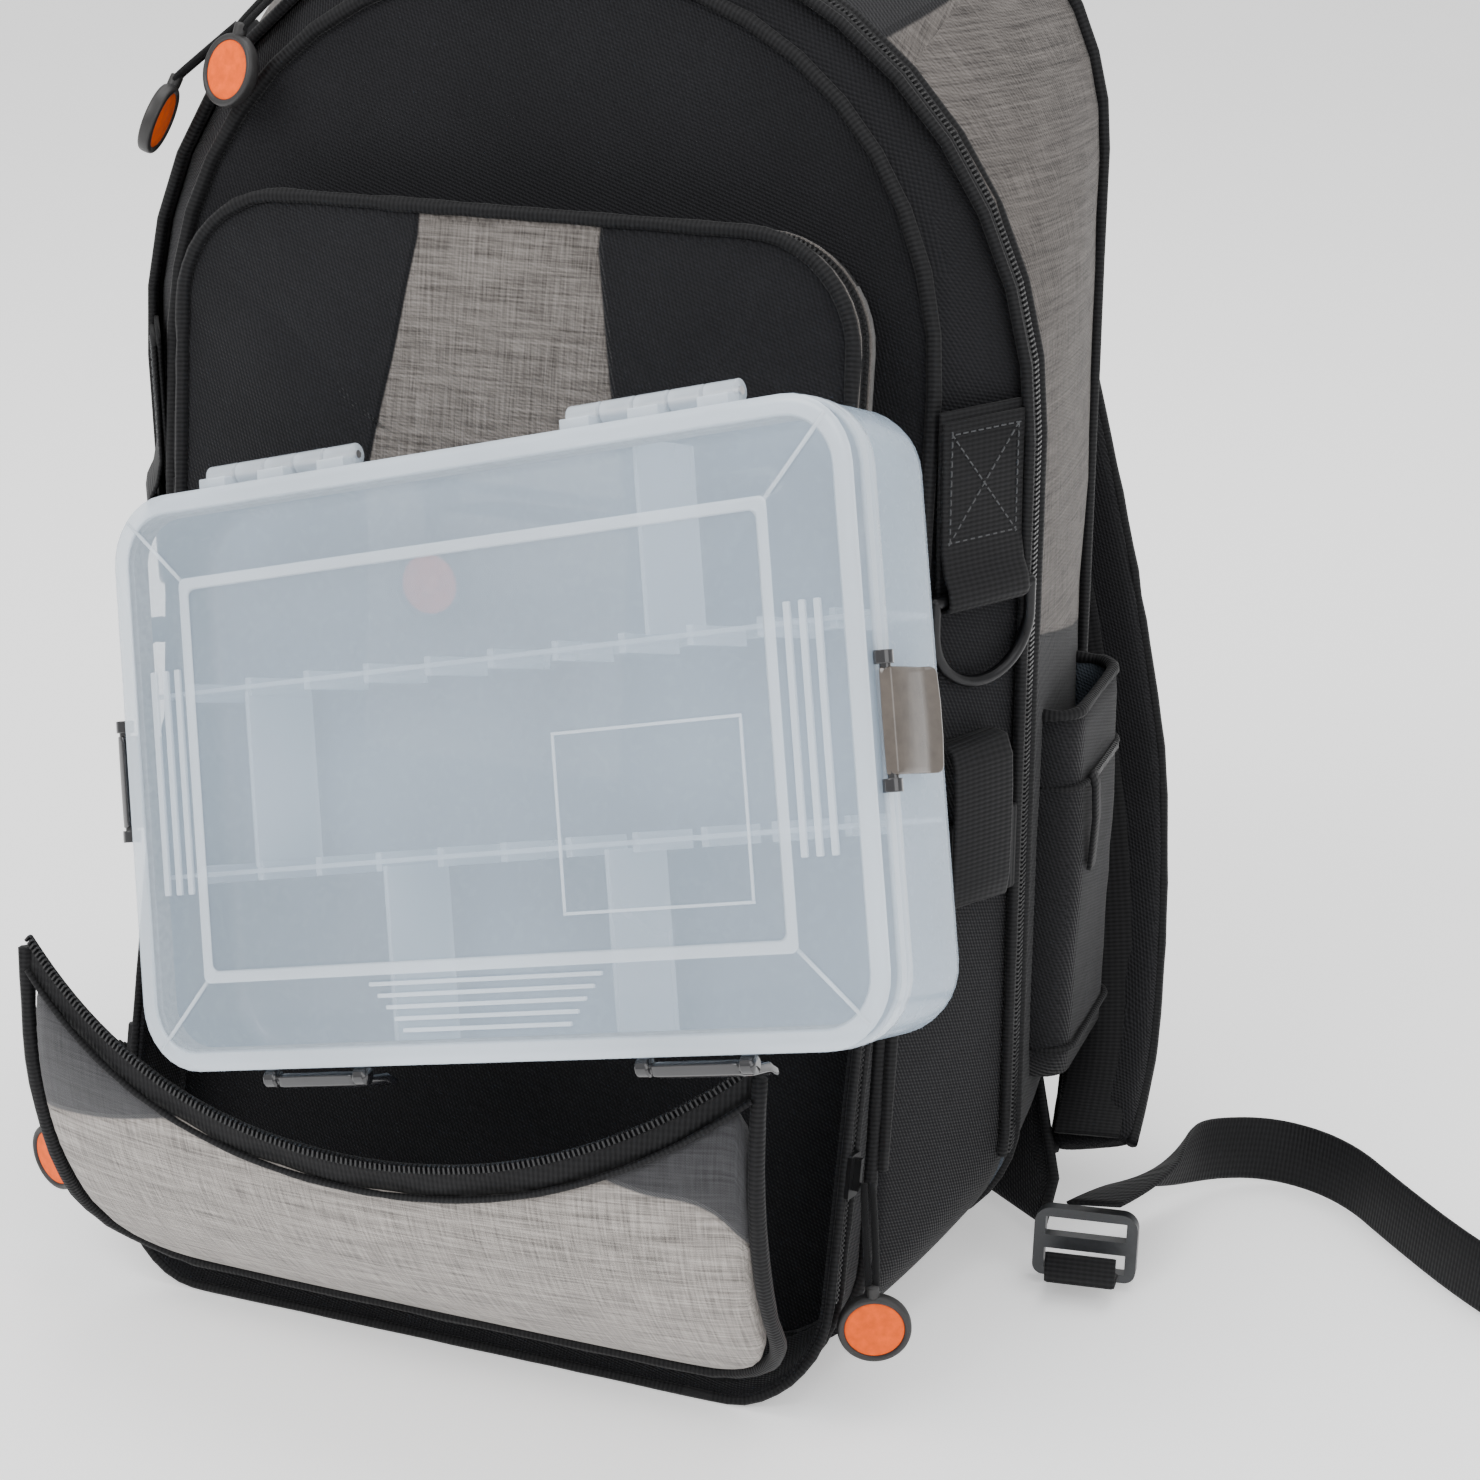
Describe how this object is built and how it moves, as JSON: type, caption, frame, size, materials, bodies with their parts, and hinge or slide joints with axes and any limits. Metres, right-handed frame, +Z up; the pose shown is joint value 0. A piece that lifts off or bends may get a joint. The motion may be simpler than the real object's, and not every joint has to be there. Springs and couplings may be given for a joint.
{
  "type": "tackle backpack",
  "caption": "Two-section fishing backpack with piped front pockets, hanging lower flap, D-rings, padded harness and a latched translucent tackle box held in the lower pocket.",
  "frame": {"origin": "middle of the base of the bounding box, on the surface the pack stands on", "axes": "+Z up, the front pockets face -Y, +X towards the side with the loose strap tail (wearer right)"},
  "size_m": [0.5886, 0.3882, 0.526],
  "materials": {
    "twill_black": "woven polyester twill",
    "melange_dark": "melange woven fabric",
    "melange_light": "light melange woven fabric",
    "mesh_black": "spacer mesh over foam",
    "webbing_black": "ribbed webbing",
    "piping_black": "fabric-covered piping",
    "zip_black": "coil zip tape",
    "board": "polyethylene sheet",
    "buckle_black": "moulded",
    "slider_metal": "black lacquer",
    "ring_metal": "black lacquer",
    "puller_orange": "soft moulded",
    "cord_orange": "braided cord",
    "box_clear": "translucent, lightly frosted",
    "pin_steel": "drawn wire",
    "seal": "soft",
    "latch_black": "moulded",
    "latch_smoke": "smoked"
  },
  "bodies": {
    "pack": {"rear_shell": "twill_black", "frame_sheet": "board", "main_zip_rear": "zip_black", "haul_handle": "webbing_black", "strap_tail": "webbing_black", "back_pad_left": "mesh_black", "back_pad_right": "mesh_black", "shoulder_strap_left": "mesh_black", "shoulder_strap_right": "mesh_black", "strap_wing_left": "webbing_black", "strap_wing_right": "webbing_black", "ladder_lock_left": "buckle_black", "ladder_lock_right": "buckle_black", "side_pocket_left": "twill_black", "side_pocket_right": "twill_black"},
    "front_section": {"front_shell": "twill_black", "front_piping": "piping_black", "main_zip_front": "zip_black", "upper_pocket_gusset": "twill_black", "lower_pocket_gusset": "twill_black", "d_ring_webbing_left": "webbing_black", "d_ring_webbing_right": "webbing_black", "side_loop_left": "webbing_black", "side_loop_right": "webbing_black"},
    "upper_cover": {"upper_pocket_cover": "melange_dark", "upper_cover_piping": "piping_black", "slip_pocket_zip": "zip_black"},
    "lower_flap": {"lower_flap": "melange_light", "lower_flap_piping": "piping_black", "lower_flap_zip": "zip_black"},
    "tackle_box": {"box_tray": "box_clear", "box_dividers": "box_clear", "box_hinge_pins": "pin_steel"},
    "tackle_box_lid": {"box_lid": "box_clear", "box_seal": "seal"},
    "d_ring_left": {"d_ring_left": "ring_metal"},
    "d_ring_right": {"d_ring_right": "ring_metal"},
    "main_slider_a": {"main_slider_a": "slider_metal", "main_puller_a": "puller_orange", "main_pull_cord_a": "cord_orange"},
    "main_slider_b": {"main_slider_b": "slider_metal", "main_puller_b": "puller_orange", "main_pull_cord_b": "cord_orange"},
    "upper_slider_a": {"upper_slider_a": "slider_metal"},
    "upper_slider_b": {"upper_slider_b": "slider_metal"},
    "slip_slider": {"slip_slider": "slider_metal", "slip_puller": "puller_orange", "slip_pull_cord": "cord_orange"},
    "lower_slider_left": {"lower_slider_left": "slider_metal", "lower_puller_left": "puller_orange", "lower_pull_cord_left": "cord_orange"},
    "lower_slider_right": {"lower_slider_right": "slider_metal", "lower_puller_right": "puller_orange", "lower_pull_cord_right": "cord_orange"},
    "latch_left": {"box_latch_left": "latch_black"},
    "latch_right": {"box_latch_right": "latch_smoke"},
    "latch_low_left": {"box_latch_low_left": "latch_black"},
    "latch_low_right": {"box_latch_low_right": "latch_black"}
  },
  "joints": [
    {"name": "main_opening", "type": "hinge", "parent": "pack", "child": "front_section", "pos_m": [-0.018, 0.0231, 0], "axis": [1, 0, 0], "range_deg": [0, 75]},
    {"name": "upper_cover_hinge", "type": "hinge", "parent": "front_section", "child": "upper_cover", "pos_m": [-0.018, -0.05166, 0.19943], "axis": [1, 0, 0], "range_deg": [0, 8]},
    {"name": "lower_flap_hinge", "type": "hinge", "parent": "front_section", "child": "lower_flap", "pos_m": [-0.018, -0.0979, 0.014], "axis": [1, 0, 0], "range_deg": [0, 70]},
    {"name": "tackle_box_lift", "type": "slide", "parent": "front_section", "child": "tackle_box", "axis": [0, -0.42, 0.9075], "range_m": [0, 0.18]},
    {"name": "tackle_box_lid_hinge", "type": "hinge", "parent": "tackle_box", "child": "tackle_box_lid", "pos_m": [0.00283, -0.10503, 0.32938], "axis": [-0.9569, 0.1206, -0.2642], "range_deg": [0, 115]},
    {"name": "latch_left_hinge", "type": "hinge", "parent": "tackle_box_lid", "child": "latch_left", "pos_m": [-0.1134, -0.1263, 0.20733], "axis": [-0.2093, 0.3441, 0.9153], "range_deg": [0, 100]},
    {"name": "latch_right_hinge", "type": "hinge", "parent": "tackle_box_lid", "child": "latch_right", "pos_m": [0.15709, -0.16167, 0.27812], "axis": [0.2093, -0.3441, -0.9153], "range_deg": [0, 100]},
    {"name": "latch_low_left_hinge", "type": "hinge", "parent": "tackle_box_lid", "child": "latch_low_left", "pos_m": [-0.02506, -0.16855, 0.13645], "axis": [-0.9569, 0.1206, -0.2642], "range_deg": [0, 100]},
    {"name": "latch_low_right_hinge", "type": "hinge", "parent": "tackle_box_lid", "child": "latch_low_right", "pos_m": [0.1089, -0.18543, 0.17344], "axis": [-0.9569, 0.1206, -0.2642], "range_deg": [0, 100]},
    {"name": "d_ring_left_swing", "type": "hinge", "parent": "front_section", "child": "d_ring_left", "pos_m": [-0.1727, -0.00133, 0.263], "axis": [-0.5398, 0.8418, 0], "range_deg": [0, 95]},
    {"name": "d_ring_right_swing", "type": "hinge", "parent": "front_section", "child": "d_ring_right", "pos_m": [0.1367, -0.00133, 0.263], "axis": [-0.5398, -0.8418, 0], "range_deg": [0, 95]},
    {"name": "main_slider_a_run", "type": "hinge", "parent": "front_section", "child": "main_slider_a", "pos_m": [-0.018, 0.0231, 0.309], "axis": [0, 1, 0], "range_deg": [0, 110]},
    {"name": "main_slider_b_run", "type": "hinge", "parent": "front_section", "child": "main_slider_b", "pos_m": [-0.018, 0.0231, 0.309], "axis": [0, 1, 0], "range_deg": [-14, 0]},
    {"name": "upper_slider_a_run", "type": "slide", "parent": "front_section", "child": "upper_slider_a", "axis": [0, 0.1483, 0.9889], "range_m": [0, 0.03]},
    {"name": "upper_slider_b_run", "type": "slide", "parent": "front_section", "child": "upper_slider_b", "axis": [0, 0.1483, 0.9889], "range_m": [-0.03, 0]},
    {"name": "slip_slider_run", "type": "slide", "parent": "upper_cover", "child": "slip_slider", "axis": [1, 0, 0], "range_m": [-0.05, 0.09]},
    {"name": "lower_slider_left_run", "type": "slide", "parent": "front_section", "child": "lower_slider_left", "axis": [0, 0.2785, 0.9604], "range_m": [0, 0.065]},
    {"name": "lower_slider_right_run", "type": "slide", "parent": "front_section", "child": "lower_slider_right", "axis": [0, 0.2785, 0.9604], "range_m": [0, 0.065]}
  ]
}
